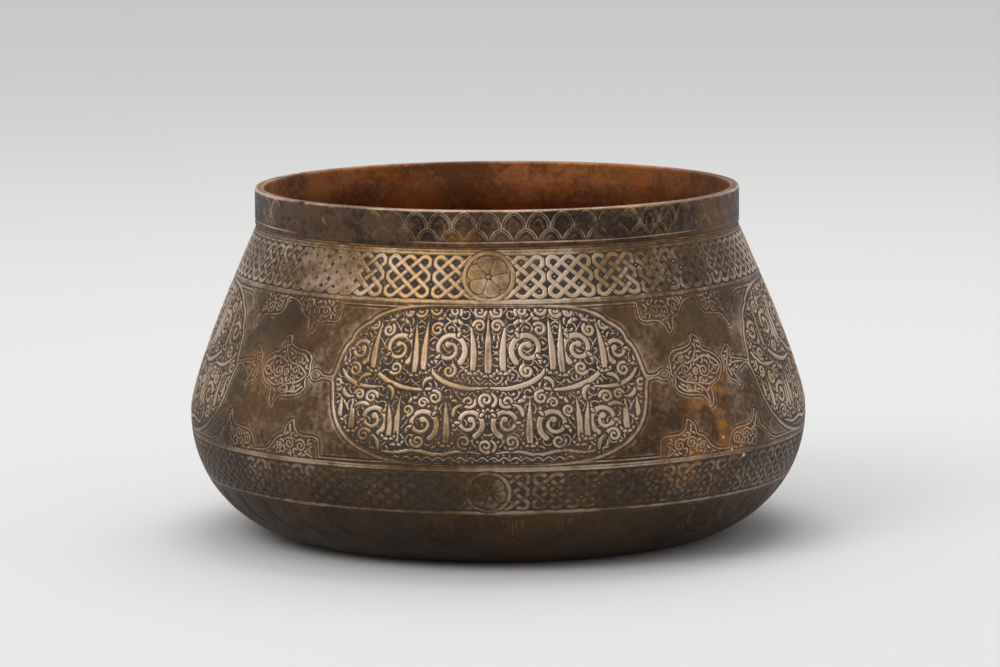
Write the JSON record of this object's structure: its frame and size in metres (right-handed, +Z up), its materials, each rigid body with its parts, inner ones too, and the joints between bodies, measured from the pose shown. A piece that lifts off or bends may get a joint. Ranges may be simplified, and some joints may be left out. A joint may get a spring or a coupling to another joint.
{
  "type": "inlaid copper bowl",
  "caption": "Round-bellied copper-alloy bowl with a thick upright collar, a let-in bottom, and bands and cartouches inlaid with black composition.",
  "frame": {"origin": "centre of the flat face that the bowl stands on", "axes": "+Z up through the middle of the mouth, -Y towards the front cartouche"},
  "size_m": [0.2304, 0.2304, 0.1292],
  "materials": {
    "copper_wall": "raised and engraved copper alloy with a worn brown patina",
    "dark_copper": "smooth copper alloy under a dark brown patina",
    "brazing": "dull yellow brazing metal",
    "black_composition": "matt, slightly crumbled black filling"
  },
  "bodies": {
    "root": {"bowl_wall": "copper_wall", "rim_collar": "dark_copper", "collar_braze": "brazing", "bottom_disc": "dark_copper", "bottom_braze": "brazing", "shoulder_band_inlay": "black_composition", "lower_band_inlay": "black_composition", "cartouche_inlay_front": "black_composition", "cartouche_inlay_right": "black_composition", "cartouche_inlay_back": "black_composition", "cartouche_inlay_left": "black_composition"}
  },
  "joints": []
}
